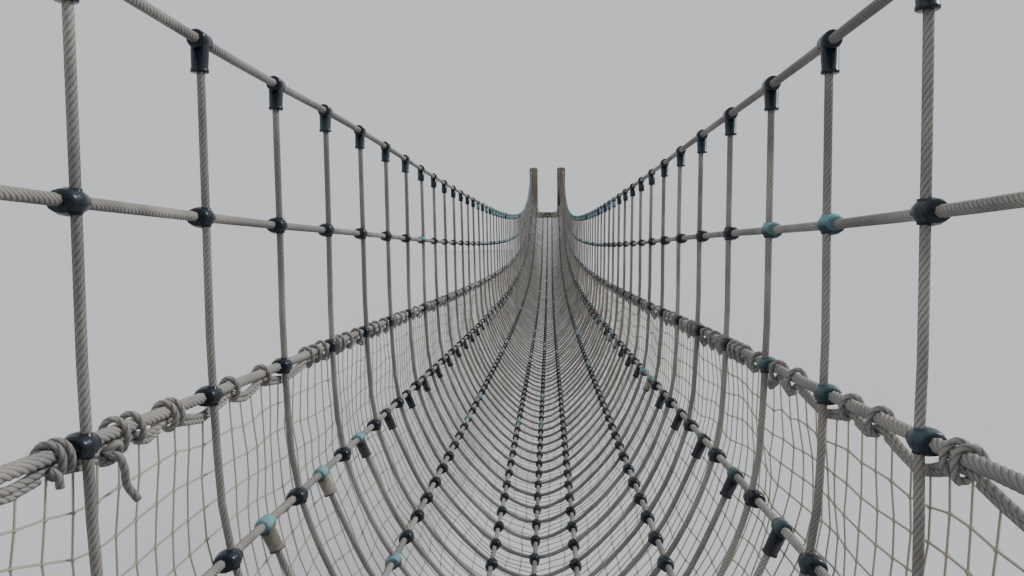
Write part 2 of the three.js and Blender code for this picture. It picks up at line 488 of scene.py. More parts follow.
class Finish:
    """A material under construction, with short ways to add and join its nodes."""

    def __init__(self, name):
        self.material = bpy.data.materials.new(name)
        self.material.use_nodes = True
        self.tree = self.material.node_tree
        self.shader = self.tree.nodes["Principled BSDF"]

    def node(self, kind, first=None, **others):
        """Adds a node, feeds its first input and sets others by name."""
        made = self.tree.nodes.new("ShaderNode" + kind)
        if first is not None:
            self.feed(made.inputs[0], first)
        for name, value in others.items():
            made.inputs[name.replace("_", " ")].default_value = value
        return made

    def feed(self, socket, value):
        if isinstance(value, bpy.types.NodeSocket):
            self.tree.links.new(value, socket)
        else:
            socket.default_value = value

    def maths(self, operation, first, second=0.0, clamp=False):
        made = self.node("Math", first)
        made.operation = operation
        made.use_clamp = clamp
        self.feed(made.inputs[1], second)
        return made.outputs[0]

    def times(self, first, second, clamp=False):
        return self.maths("MULTIPLY", first, second, clamp)

    def plus(self, first, second, clamp=False):
        return self.maths("ADD", first, second, clamp)

    def blend(self, share, first, second):
        made = self.node("Mix")
        made.data_type = "RGBA"
        self.feed(made.inputs[0], share)
        self.feed(made.inputs[6], first)
        self.feed(made.inputs[7], second)
        return made.outputs[2]

    def noise(self, scale, detail, roughness, where):
        made = self.node("TexNoise", where, Scale=scale, Detail=detail, Roughness=roughness)
        return made.outputs["Fac"]

    def ramp(self, value, low, high):
        """0 below low and 1 above high."""
        return self.node("MapRange", value, From_Min=low, From_Max=high).outputs["Result"]

    def object_place(self, stretch=None):
        """Places in the object, stretched by so much along each axis."""
        place = self.node("TexCoord").outputs["Object"]
        if stretch is None:
            return place
        return self.node("Mapping", place, Scale=stretch).outputs["Vector"]

    def shade(self):
        made = self.node("Attribute")
        made.attribute_name = "shade"
        return made.outputs["Fac"]

    def facing_up(self):
        normal = self.node("NewGeometry").outputs["Normal"]
        return self.node("SeparateXYZ", normal).outputs["Z"]

    def bump(self, height, depth, strength=1.0, below=None):
        made = self.node("Bump", Strength=strength, Distance=depth)
        self.feed(made.inputs["Height"], height)
        if below is not None:
            self.feed(made.inputs["Normal"], below)
        return made.outputs["Normal"]

    def finish(self, colour, roughness, normal=None, metallic=0.0, specular=0.5):
        self.feed(self.shader.inputs["Base Color"], colour)
        self.feed(self.shader.inputs["Roughness"], roughness)
        self.shader.inputs["Metallic"].default_value = metallic
        self.shader.inputs["Specular IOR Level"].default_value = specular
        if normal is not None:
            self.feed(self.shader.inputs["Normal"], normal)
        return self.material


def rgba(colour, factor=1.0):
    return tuple(c * factor for c in colour) + (1.0,)


def strand_height(make, strands):
    """The rounded strands of a laid rope: 1 on a strand's crest, 0 in the groove."""
    pattern = make.node("UVMap")
    pattern.uv_map = "Lay"
    split = make.node("SeparateXYZ", pattern.outputs["UV"])
    turns = make.maths("SUBTRACT", split.outputs["Y"], split.outputs["X"])
    phase = make.maths("FRACT", make.times(turns, float(strands)))
    bow = make.times(phase, make.maths("SUBTRACT", 1.0, phase))
    return make.maths("POWER", make.times(bow, 4.0), 0.7)


def laid_rope_finish(name, base, worn, shade_and_dirt, strands, depth, fuzz, shade_and_grime):
    """Laid rope: crests bleached and worn, upward faces lighter with sun bleaching and painted sunlight,
    painted shade with grime in the grooves, fibres lifting on the surface.
    """
    make = Finish(name)
    height = strand_height(make, strands)
    place = make.object_place()
    patches = make.noise(3.5, 4.0, 0.65, place)
    fibres = make.noise(420.0, 3.0, 0.7, place)
    bleached = make.ramp(patches, 0.44, 0.66)
    # Upward faces lighter: sun bleaching together with painted sunlight on the tops
    sunny = make.times(make.ramp(make.facing_up(), -0.35, 0.9), 0.55)
    crests = make.plus(0.5, make.times(height, 0.5))
    # This wear also carries the painted sunlight on the upward faces
    wear = make.times(make.plus(bleached, sunny), crests, clamp=True)
    body = make.blend(wear, base, worn)
    speckle = make.ramp(fibres, 0.3, 0.75)
    body = make.blend(make.times(speckle, 0.35), body, rgba(worn[:3], 1.05))
    # Painted shade in the grooves between strands, with grime patches, darkens towards the dirt colour
    groove = make.ramp(height, 0.72, 0.05)
    groove_shade_and_grime = make.plus(groove, make.times(make.ramp(patches, 0.46, 0.25), 0.5), clamp=True)
    colour = make.blend(make.times(groove_shade_and_grime, shade_and_grime), body, shade_and_dirt)
    shape = make.bump(height, depth)
    skin = make.bump(fibres, fuzz, 0.8, shape)
    return make.finish(colour, 0.88, skin, specular=0.25)


def fibre_finish(name, colours):
    make = Finish(name)
    tone = make.noise(30.0, 2.0, 0.6, make.object_place())
    colour = make.blend(tone, rgba(colours.rope_worn, 0.55), rgba(colours.rope_worn, 1.25))
    return make.finish(colour, 0.8, make.bump(tone, 0.0002, 0.3), specular=0.2)


def twine_finish(name, colours):
    make = Finish(name)
    place = make.object_place()
    patches = make.noise(2.2, 4.0, 0.7, place)
    fibres = make.noise(900.0, 2.0, 0.7, place)
    pale = make.blend(make.ramp(patches, 0.35, 0.7), rgba(colours.twine, 0.65), rgba(colours.twine))
    colour = make.blend(make.ramp(fibres, 0.3, 0.8), rgba(colours.twine, 0.4), pale)
    return make.finish(colour, 0.85, make.bump(fibres, 0.0006, 0.9), specular=0.2)


def connector_finish(name, black, bleached, gloss):
    """Moulded plastic: gloss black, bleached by the sun as far as the shade attribute says. The fading
    gathers on upward faces, with painted sky sheen on the tops and painted shade keeping the undersides
    black.
    """
    make = Finish(name)
    place = make.object_place()
    scuffs = make.noise(95.0, 4.0, 0.7, place)
    grain = make.noise(600.0, 2.0, 0.6, place)
    fade_and_sheen = make.shade()
    # Painted sky sheen on the tops and painted shade below, laid over the sun fading
    upward = make.ramp(make.facing_up(), -0.3, 0.6)
    faded_and_sheen = make.times(fade_and_sheen, make.plus(0.10, make.times(upward, 0.95)))
    worn = make.blend(make.ramp(scuffs, 0.35, 0.75), rgba(bleached, 0.75), rgba(bleached, 1.35))
    colour = make.blend(make.maths("MINIMUM", faded_and_sheen, 1.0), rgba(black), worn)
    rubbed = make.times(make.ramp(scuffs, 0.60, 0.85), 0.12)
    colour = make.blend(rubbed, colour, (0.06, 0.07, 0.08, 1.0))
    roughness = make.plus(make.times(fade_and_sheen, 0.35), make.times(scuffs, 0.22), clamp=True)
    roughness = make.plus(roughness, gloss)
    return make.finish(colour, roughness, make.bump(grain, 0.0002, 0.4), specular=0.26)


def timber_finish(name, colours):
    """Sawn timber stood on end: long grain, checks that run up it, grey weathering and damp feet."""
    make = Finish(name)
    place = make.object_place()
    grain = make.noise(1.0, 6.0, 0.65, make.object_place((34.0, 34.0, 1.6)))
    checks = make.ramp(make.noise(1.0, 3.0, 0.55, make.object_place((11.0, 11.0, 0.55))), 0.655, 0.69)
    patches = make.noise(2.6, 4.0, 0.6, place)
    silver = make.blend(make.ramp(patches, 0.35, 0.65), rgba(colours.timber), (0.27, 0.25, 0.225, 1.0))
    wood = make.blend(make.ramp(grain, 0.3, 0.72), silver, rgba(colours.timber, 0.45))
    colour = make.blend(checks, wood, (0.018, 0.014, 0.011, 1.0))
    height = make.node("SeparateXYZ", place).outputs["Z"]
    damp = make.ramp(make.plus(height, make.times(patches, 0.25)), 0.33, 0.12)
    colour = make.blend(make.times(damp, 0.55), colour, (0.045, 0.05, 0.03, 1.0))
    fine = make.bump(grain, 0.0025, 0.7)
    normal = make.bump(make.maths("SUBTRACT", 1.0, checks), 0.006, 1.0, fine)
    return make.finish(colour, make.plus(0.72, make.times(grain, 0.2)), normal, specular=0.3)


def steel_finish(name):
    make = Finish(name)
    place = make.object_place()
    spangle = make.noise(70.0, 3.0, 0.6, place)
    stain = make.ramp(make.noise(14.0, 4.0, 0.7, place), 0.56, 0.72)
    zinc = make.blend(spangle, (0.26, 0.27, 0.28, 1.0), (0.5, 0.51, 0.52, 1.0))
    colour = make.blend(make.times(stain, 0.7), zinc, (0.13, 0.07, 0.035, 1.0))
    roughness = make.plus(0.34, make.times(spangle, 0.3))
    return make.finish(colour, roughness, make.bump(spangle, 0.0006, 0.5), metallic=0.85)


def finish_named(name):
    """A finish of the bridge, made when it is first asked for."""
    found = bpy.data.materials.get(name)
    if found:
        return found
    colours = bpy.context.scene.footbridge_colours
    rope = (rgba(colours.rope), rgba(colours.rope_worn), rgba(colours.rope_dirt_and_shade))
    rail = (rgba(colours.handrail), rgba(colours.rope_worn, 0.92), rgba(colours.rope_dirt_and_shade))
    # After their three colours, laid ropes have strands, the depths of strands and fibres, and the
    # strength of the painted groove shade and grime
    maker, *values = {
        "laid_rope": (laid_rope_finish, *rope, 6, 0.0016, 0.0008, 0.20),
        "laid_handrail": (laid_rope_finish, *rail, 6, 0.0014, 0.0009, 0.34),
        "lashing_rope": (laid_rope_finish, *rail, 3, 0.0020, 0.0015, 0.26),
        "loose_fibre": (fibre_finish, colours),
        "knotted_twine": (twine_finish, colours),
        "moulded_connector": (connector_finish, colours.connector, colours.connector_faded_and_sheen, 0.14),
        "bleached_sleeve": (connector_finish, colours.connector, colours.sleeve_bleached, 0.26),
        "weathered_timber": (timber_finish, colours),
        "dull_galvanised_steel": (steel_finish,),
    }[name]
    return maker(name, *values)


def nodes_like(*words):
    """The frame's nodes whose names hold one of the words."""
    return sorted(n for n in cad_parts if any(w in n for w in words))


# Pieces

class MESH_OT_footbridge_long_ropes(bpy.types.Operator):
    """Lay the ropes that run from post to post"""

    bl_idname = "mesh.footbridge_long_ropes"
    bl_label = "Long Ropes"

    # Each rope, its place and the frame's node that holds it on each side
    plan = (("top_rope", TOP, "top_rope"), ("second_rope", SECOND, "upper_side_net"),
            ("fourth_rope", FOURTH, "lower_side_net"), ("floor_edge_rope", EDGE, "floor_edge_rope"),
            ("inner_floor_rope", INNER, "floor_net"))
    # How far the ropes stray from their true line
    sway = 0.0006

    def execute(self, context):
        sizes = context.scene.footbridge_sizes
        for side, sign in SIDES.items():
            for name, place, node in self.plan:
                self.lay(sizes, f"{side}_laid_{name}", place, sign, nodes_like(f"{side}_{node}"))
        self.lay(sizes, "laid_centre_floor_rope", CENTRE, RIGHT, ["centre_floor_rope"])
        return {"FINISHED"}

    def lay(self, sizes, name, place, sign, stands_for):
        k = np.linspace(ROPE_START, ROPE_END, 2 * PITCHES)
        rng = np.random.default_rng(len(name))
        across, rise = smooth_noise(rng, (len(k), 2), (5, 1)).T * self.sway
        path = on_bridge(sign * place[0] + across, place[1] + rise, k)
        batch = Batch()
        sweep(batch, path[None], station(k)[1], sizes.rope / 2, 7, sizes.lay)
        batch.piece(name, "laid_rope", "rope", stands_for)


class MESH_OT_footbridge_handrails(bpy.types.Operator):
    """Lay the two thick handrail ropes, with their strands"""

    bl_idname = "mesh.footbridge_handrails"
    bl_label = "Handrail Ropes"

    # Rings in one turn of the strands, closely seen and farther along
    rings = (12, 6)
    # Radius in a groove and on a crest, as shares of the rope's radius
    strand_profile = (0.86, 1.0)
    strands = 6

    def execute(self, context):
        sizes = context.scene.footbridge_sizes
        lays_per_pitch = PITCH / sizes.handrail_lay
        k = rope_stations(*(1 / (rings * lays_per_pitch) for rings in self.rings))
        for side, sign in SIDES.items():
            batch = Batch()
            path = on_bridge(sign * HANDRAIL[0], HANDRAIL[1], k)
            twist = (k - k[0]) * lays_per_pitch * 2 * math.pi
            sweep(batch, path[None], station(k)[1], sizes.handrail / 2, 2 * self.strands, math.inf,
                  turn=twist[None], profile=self.strand_profile * self.strands)
            batch.piece(f"{side}_handrail_strands", "laid_handrail", "handrail_rope",
                        [f"{side}_handrail_rope"])
        return {"FINISHED"}


def inner_side(section):
    """The line of a cross rope: inside the section's ropes, but square on the two that hold its ends."""
    along = unit(section[2:] - section[:-2])
    moved = section.copy()
    moved[1:-1] += np.stack([-along[:, 1], along[:, 0]], -1) * INSET
    return moved


class MESH_OT_footbridge_cross_ropes(bpy.types.Operator):
    """Hang the U-shaped hanger ropes and the shorter cross ropes between them"""

    bl_idname = "mesh.footbridge_cross_ropes"
    bl_label = "Hangers and Cross Ropes"

    # Steps of the line between one long rope and the next, from the top rope to the centre
    half_steps = [3, 3, 3, 5, 5, 4]
    # How far the ropes stray from their true line
    sway = 0.0012

    def execute(self, context):
        sizes, fourth = context.scene.footbridge_sizes, HALF_SECTION.index(FOURTH)
        self.hang(sizes, "hanger_ropes", HANGERS, 0, 11, nodes_like("side_net", "floor_net"))
        self.hang(sizes, "intermediate_floor_ropes", BETWEEN, fourth, 12,
                  nodes_like("lower_side_net", "floor_net"))
        return {"FINISHED"}

    def hang(self, sizes, name, stations, first, seed, stands_for):
        """One rope at each station, from the section's first rope on one side to that on the other."""
        half = self.half_steps[first:]
        curve = smooth_curve(inner_side(mirrored(HALF_SECTION[first:])), half + half[::-1])
        across, height = curve.T
        rng = np.random.default_rng(seed)
        drift = smooth_noise(rng, (len(stations), len(curve), 3), (1, 6, 1)) * self.sway
        k = hanger_station(stations[:, None], across, height) + drift[..., 2] / PITCH
        paths = on_bridge(across + drift[..., 0], height + drift[..., 1], k)
        guide = along_at(stations)[:, None]
        near = stations < 2 * FINE_TO
        batch = Batch()
        for chosen, sides in ((near, 8), (~near, 6)):
            sweep(batch, paths[chosen], guide[chosen], sizes.hanger / 2, sides, sizes.lay)
        batch.piece(name, "laid_rope", "hanger_rope", stands_for)


def section_frames(place, stations, sign, slope_from, slope_to):
    """Places and axes of connectors on one rope: along the walk, up the section and outwards."""
    at, low, high = (
        on_bridge(sign * across, height, hanger_station(stations, sign * across, height))
        for across, height in (place, slope_from, slope_to))
    along = along_at(stations)
    out = unit(np.cross(along, high - low))
    return at, along, np.cross(out, along), out


class MESH_OT_footbridge_ball_connectors(bpy.types.Operator):
    """Clamp every crossing with a moulded ball connector"""

    bl_idname = "mesh.footbridge_ball_connectors"
    bl_label = "Ball Connectors"

    # Half of the body's outline along the long rope, as shares of its radius: socket, then ball
    fine_outline = ((1.15, 0.60), (1.12, 0.80), (0.78, 0.84), (0.48, 0.95), (0.16, 1.0))
    plain_outline = ((1.12, 0.76), (0.74, 0.86), (0.20, 1.0))
    # Size on each rope, as a share of the usual one
    swell = {"second_rope": 0.95, "handrail": 0.95}
    # The body is deeper than it is wide, to hold both ropes, and lies a little inside the long one
    depth = 1.24
    inset = 0.003
    # Stations near the walk's start whose connectors are lighter, and how far: faded by the sun on the
    # second rope and the floor edge, a painted sky sheen on the right handrail
    faded_and_sheen = {("second_rope", RIGHT): {7: 1.0, 8: 1.0}, ("floor_edge", LEFT): {9: 0.9},
             ("handrail", RIGHT): {6: 0.16, 7: 0.26, 8: 0.26}}
    # Fading that any connector can have, and that of the ones which the sun has faded
    dulled = 0.07
    bleached = 0.9
    # Share of the connectors that the sun has faded, and how much greater it is in the open
    faded_share = 0.07
    sunned = {"second_rope": 0.6, "handrail": 0.3}
    # The short neck on the rope that crosses
    neck_outline = ((-0.89, 0.40), (-0.86, 0.47), (0.86, 0.47), (0.89, 0.40))

    def execute(self, context):
        radius = context.scene.footbridge_sizes.ball / 2
        rng = np.random.default_rng(21)
        plan = [("second_rope", SECOND, HANDRAIL, TOP, HANGERS),
                ("handrail", HANDRAIL, FOURTH, SECOND, HANGERS),
                ("fourth_rope", FOURTH, EDGE, HANDRAIL, HANGERS),
                ("floor_edge", EDGE, INNER, FOURTH, CROSSINGS),
                ("inner_floor", INNER, CENTRE, EDGE, CROSSINGS),
                ("centre", CENTRE, (-INNER[0], INNER[1]), INNER, CROSSINGS)]
        for name, place, low, high, stations in plan:
            batch = Batch()
            share = self.faded_share + self.sunned.get(name, 0.0) * in_the_open(stations)
            for sign in ((RIGHT,) if place is CENTRE else SIDES.values()):
                self.clamp(batch, rng, radius * self.swell.get(name, 1.0),
                           section_frames(place, stations, sign, low, high), stations, sign,
                           share, self.faded_and_sheen.get((name, sign), {}))
            batch.piece(f"{name}_ball_connectors", "moulded_connector", "connector")
        return {"FINISHED"}

    def clamp(self, batch, rng, radius, frames, stations, sign, faded_share, faded_and_sheen):
        at, along, rise, out = frames
        middle = at - out * sign * self.inset
        crossing = at - out * sign * INSET
        bleach_and_sheen = rng.uniform(0.0, self.dulled, len(at))
        near = stations <= FINE_TO
        bleach_and_sheen[~near & (rng.random(len(at)) < faded_share)] = self.bleached
        # Listed stations take their sun fading, and on the right handrail a painted sheen
        for k, share in faded_and_sheen.items():
            bleach_and_sheen[stations == k] = share
        for chosen, outline, sides in ((near, self.fine_outline, 14), (~near, self.plain_outline, 7)):
            half = np.array(outline)
            ball = turned(np.vstack([half * [-1, 1], half[::-1]]) * radius, sides)
            axes = (along[chosen], rise[chosen], out[chosen] * self.depth)
            place_all(batch, ball, middle[chosen], axes, bleach_and_sheen[chosen])
        neck = turned(np.array(self.neck_outline) * radius, 12)
        place_all(batch, neck, crossing[near], (rise[near], out[near], along[near]), bleach_and_sheen[near])


class MESH_OT_footbridge_tee_connectors(bpy.types.Operator):
    """Hold the tops of the hangers and cross ropes with moulded tee connectors"""

    bl_idname = "mesh.footbridge_tee_connectors"
    bl_label = "Tee Connectors"

    # How far head and sleeve are lighter at stations near the walk's start: sun fading on the left, a
    # painted sheen on the right. The others there are black.
    near_fade_and_sheen = {
        ("fourth_rope", LEFT): {6.5: (1.2, 0.52), 7.5: (1.4, 0.62), 8.5: (1.3, 0.9), 9.5: (1.1, 0.12)},
        ("fourth_rope", RIGHT): {6.5: (0.22, 0.05), 7.5: (0.2, 0.05), 8.5: (0.18, 0.05),
                                 9.5: (0.1, 0.05)},
    }
    # Fading that any tee can have, and that of the ones which the sun has faded
    dulled = 0.08
    bleached = (0.7, 1.3)
    # The sleeves of the lower tees bleach to a sandy grey
    sleeve_finish = {"top_rope": "moulded_connector", "fourth_rope": "bleached_sleeve"}
    # Half length of the head, and its wall round the long rope
    reach = 0.0195
    head_wall = 0.0068
    # Walls of the sleeve round the hanger, at its top and foot
    sleeve_walls = (0.0075, 0.0062)

    def execute(self, context):
        sizes = context.scene.footbridge_sizes
        rng = np.random.default_rng(31)
        sunny = 0.06 + 0.8 * in_the_open(HANGERS)
        low_sleeve = sizes.tee_sleeve * 1.04
        plan = (("top_rope", TOP, SECOND, HANGERS, sizes.tee_sleeve, {LEFT: sunny, RIGHT: sunny}),
                ("fourth_rope", FOURTH, EDGE, BETWEEN, low_sleeve, {LEFT: 0.4, RIGHT: 0.2}))
        for row in plan:
            self.fit(sizes, rng, *row)
        return {"FINISHED"}

    def fit(self, sizes, rng, name, place, low, stations, sleeve, faded_share):
        """Tees on both sides' ropes. The share of faded ones is given for each side."""
        heads, sleeves = Batch(), Batch()
        above = (2 * place[0] - low[0], 2 * place[1] - low[1])
        for sign in SIDES.values():
            fade_and_sheen = rng.uniform(0.0, self.dulled, len(stations))
            faded_and_sheen = (rng.random(len(stations)) < faded_share[sign]) & (stations > FINE_TO)
            fade_and_sheen[faded_and_sheen] = rng.uniform(*self.bleached, int(faded_and_sheen.sum()))
            fades_and_sheen = np.stack([fade_and_sheen, fade_and_sheen], -1)
            # Listed stations take sun fading on the left and a painted sheen on the right
            for k, pair in self.near_fade_and_sheen.get((name, sign), {}).items():
                fades_and_sheen[stations == k] = pair
            self.clamp(heads, sleeves, sizes, section_frames(place, stations, sign, low, above),
                       stations, sleeve, fades_and_sheen)
        heads.piece(f"{name}_tee_heads", "moulded_connector", "connector")
        sleeves.piece(f"{name}_tee_sleeves", self.sleeve_finish[name], "connector")

    def clamp(self, heads, sleeves, sizes, frames, stations, sleeve, fades_and_sheen):
        at, along, rise, out = frames
        bore, grip, reach = sizes.rope / 2, sizes.hanger / 2, self.reach
        body = bore + self.head_wall
        top, foot = (grip + wall for wall in self.sleeve_walls)
        near = stations <= FINE_TO
        for chosen, sides in ((near, 16), (~near, 8)):
            # Places along the axis and radii: a bevelled head, and a sleeve with a lip at its foot
            head = [(-reach, bore - 0.001), (-reach, body - 0.0024), (-reach + 0.0022, body),
                    (reach - 0.0022, body), (reach, body - 0.0024), (reach, bore - 0.001)]
            tube = [(0.004, top), (sleeve - 0.0060, foot), (sleeve - 0.0054, foot + 0.0012),
                    (sleeve - 0.0010, foot + 0.0012), (sleeve, foot + 0.0002), (sleeve, grip - 0.001)]
            if sides == 8:
                head, tube = head[1:-1], tube[:2] + tube[4:]
            axes = (along[chosen], rise[chosen], out[chosen])
            place_all(heads, turned(head, sides), at[chosen], axes, fades_and_sheen[chosen, 0])
            down = (-rise[chosen], along[chosen], out[chosen])
            place_all(sleeves, turned(tube, sides), at[chosen], down, fades_and_sheen[chosen, 1])


class HeadRope:
    """The net's head rope on one side: hitched up under the handrail, slack between the hitches."""

    # Hitches in one pitch as shares of it, how far they stray, and the share of them that is made
    hitches = (0.14, 0.28, 0.52, 0.78)
    stray = 0.04
    made = 0.85
    # How far the rope hangs outside the handrail, and how far it swings out as it drops
    outset = 0.003
    swing = 0.15
    # How far it drops between hitches: as a share of their distance, and at most
    slack_share = (0.07, 0.14)
    slack_most = (0.015, 0.026)
    # Hitches where the lashing is closely seen, as stations, from the first of them to the last
    near_hitches = {
        "left": (5.14, 5.50, 5.85, 5.90, 6.235, 6.35, 6.61, 6.67, 7.27, 7.70, 8.50, 8.66),
        "right": (5.30, 5.86, 5.93, 6.51, 6.80, 7.53, 7.84, 8.25, 8.60, 8.75, 8.88),
    }
    # Stations kept free of other hitches on both sides of these, and at the rope's ends
    room = 0.15
    end_room = 0.1
    # How freely the rope hangs between its hitches, before one station and after it
    freedom_from = 6
    freedom = {"left": (0.4, 0.85), "right": (1.25, 1.25)}

    def __init__(self, sizes, side):
        rng = np.random.default_rng(41 + list(SIDES).index(side))
        known = self.near_hitches[side]
        places = list(known)
        for k in range(PITCHES):
            for share in self.hitches:
                place = k + share + rng.uniform(-self.stray, self.stray)
                apart = not known[0] - self.room < place < known[-1] + self.room
                if rng.random() < self.made and apart:
                    places.append(place)
        start = ROPE_START + self.end_room
        self.hitched = np.array(sorted(k for k in places if start < k < PITCHES - start))
        self.touch = (sizes.handrail + sizes.lashing) / 2
        between = (self.hitched[1:] + self.hitched[:-1]) / 2
        gap = np.diff(self.hitched) * PITCH
        slack = gap * rng.uniform(*self.slack_share, len(gap))
        slack = np.minimum(slack, rng.uniform(*self.slack_most, len(gap)))
        slack *= np.where(between < self.freedom_from, *self.freedom[side])
        order = np.argsort(np.concatenate([self.hitched, between]))
        self.marks = np.concatenate([self.hitched, between])[order]
        self.drops = np.concatenate([np.zeros(len(self.hitched)), slack])[order]
        self.rng = rng

    def place(self, k):
        """Half width and height of the rope's middle at each station."""
        k = np.asarray(k, float)
        after = np.clip(np.searchsorted(self.marks, k), 1, len(self.marks) - 1)
        low, high = self.marks[after - 1], self.marks[after]
        share = eased(np.clip((k - low) / (high - low), 0, 1))
        drop = self.drops[after - 1] + (self.drops[after] - self.drops[after - 1]) * share
        return HANDRAIL[0] + self.outset + drop * self.swing, HANDRAIL[1] - self.touch - drop


class MESH_OT_footbridge_lashing(bpy.types.Operator):
    """Run the net's head rope under each handrail and hitch it there, with a loose tail"""

    bl_idname = "mesh.footbridge_lashing"
    bl_label = "Head Ropes and Lashing"

    # Length of the handrail that one turn of the lashing takes
    turn_length = 0.033
    # One turn of the strands of the lashing and of the head rope
    lay = 0.040
    head_lay = 0.042
    # The head rope's size as a share of the lashing's
    head_size = 1.18
    # How far the lashing's middle lies off the ropes, as a share of its radius
    stand_off = 0.95
    # Where the lashing lies between its hitches: below the ropes, on their outer side
    rest = math.radians(-82)
    # How far the turns stand off the ropes here and there, as a share of their size
    ease = {"left": 0.07, "right": 0.13}

    def execute(self, context):
        sizes = context.scene.footbridge_sizes
        for side, sign in SIDES.items():
            head = HeadRope(sizes, side)
            self.head_rope(sizes, side, sign, head)
            self.lash(sizes, side, sign, head)
        self.tail(sizes)
        return {"FINISHED"}

    def head_rope(self, sizes, side, sign, head):
        batch = Batch()
        k = rope_stations(1 / 20, 1 / 9)
        across, height = head.place(k)
        path = on_bridge(sign * across, height, k)
        sweep(batch, path[None], station(k)[1], sizes.lashing / 2 * self.head_size, 7, self.head_lay)
        batch.piece(f"{side}_net_head_rope", "lashing_rope", "handrail_rope")

    def lash(self, sizes, side, sign, head):
        """One rope that lies along the head rope and turns round both ropes at each hitch."""
        turn = self.turn_length / PITCH
        centres = head.hitched
        rng = head.rng
        near = centres < FINE_TO
        turned_at = [(centres[chosen, None] + np.linspace(-0.5, 0.5, count) * turn).ravel()
                     for chosen, count in ((near, 21), (~near, 8))]
        stations = np.sort(np.concatenate([
            *turned_at, head.marks[1::2], (centres[1:] * 3 + centres[:-1]) / 4,
            (centres[1:] + centres[:-1] * 3) / 4, [ROPE_START, ROPE_END]]))
        share = np.clip((stations[:, None] - centres) / turn + 0.5, 0, 1)
        turns = ((share + eased(share)) / 2).sum(1)
        angle = self.rest + turns * 2 * math.pi
        across, height = head.place(stations)
        thick = sizes.lashing / 2
        thinner = (sizes.handrail - sizes.lashing) / 4
        reach_high = (HANDRAIL[1] - height) / 2 + sizes.handrail / 2 - thinner + thick * self.stand_off
        reach_wide = sizes.handrail / 2 + thick * self.stand_off
        loose = 1 + self.ease[side] * smooth_noise(rng, (len(stations), 1), (4, 1))[:, 0].clip(0, 2.5)
        wide = (across + HANDRAIL[0]) / 2 + reach_wide * loose * np.cos(angle)
        tall = (height + HANDRAIL[1]) / 2 + thinner + reach_high * loose * np.sin(angle)
        path = on_bridge(sign * wide, tall, stations)
        outward = np.stack([sign * np.cos(angle), np.zeros(len(angle)), np.sin(angle)], -1)
        batch = Batch()
        split = int(np.searchsorted(stations, FINE_TO - 0.5))
        for part, sides in ((slice(split + 1), 10), (slice(split, None), 5)):
            sweep(batch, path[None, part], outward[None, part], thick, sides, self.lay)
        batch.piece(f"{side}_lashing", "lashing_rope", "handrail_rope")
        self.fray(side, path[:split], thick, rng)

    # Loose fibres that stand off the worn lashing, where it is closely seen
    fibres = 1500
    fibre_length = (0.005, 0.014)
    fibre_width = 0.00045

    def fray(self, side, path, thick, rng):
        """Thin pointed fibres, each a little bent cone with its foot in the rope."""
        step = rng.uniform(0, len(path) - 2, self.fibres)
        first = step.astype(int)
        share = (step - first)[:, None]
        foot = path[first] * (1 - share) + path[first + 1] * share
        along = unit(path[first + 1] - path[first])
        out = square_to(rng.normal(size=(self.fibres, 3)), along)
        lean = unit(out + along * rng.uniform(-1.2, 1.2, (self.fibres, 1)) - UP * 0.35)
        length = rng.uniform(*self.fibre_length, (self.fibres, 1))
        foot = foot + out * thick * 0.9
        tip = foot + lean * length
        side_way = unit(np.cross(along, out)) * self.fibre_width / 2
        run = along * self.fibre_width / 2
        points = np.stack([foot + side_way, foot - side_way + run, foot - side_way - run, tip], 1)
        faces = np.array([(0, 2, 1), (0, 1, 3), (1, 2, 3), (2, 0, 3)])
        batch = Batch()
        batch.add(points, repeated(faces, self.fibres, 4))
        batch.piece(f"{side}_lashing_fray", "loose_fibre", "handrail_rope")

    # The tail and a stub: station, size as a share of the lashing's, steps between points, and the
    # points as across, along and up from the handrail's middle
    loose_ends = (
        (6.16, 1.18, 5, ((0.004, -0.010, -0.020), (0.014, 0.000, -0.010), (0.013, 0.012, -0.016),
                         (0.002, 0.016, -0.034), (-0.008, 0.006, -0.036), (0.000, -0.002, -0.024),
                         (0.014, 0.004, -0.026), (0.017, 0.013, -0.045), (0.013, 0.024, -0.069),
                         (0.020, 0.037, -0.093))),
        (5.835, 1.1, 4, ((0.006, -0.006, -0.012), (0.012, 0.000, -0.020), (0.012, 0.003, -0.034))),
    )

    def tail(self, sizes):
        """The loose end of the left lashing, hanging by the first hanger in view."""
        batch = Batch()
        for k, size, steps, points in self.loose_ends:
            at = on_bridge(-HANDRAIL[0], HANDRAIL[1], k)
            path = smooth_curve(at + np.array(points), steps)
            sweep(batch, path[None], (1.0, 0.2, 0.1), sizes.lashing / 2 * size, 10, self.lay)
        batch.piece("left_lashing_tail", "lashing_rope", "handrail_rope")


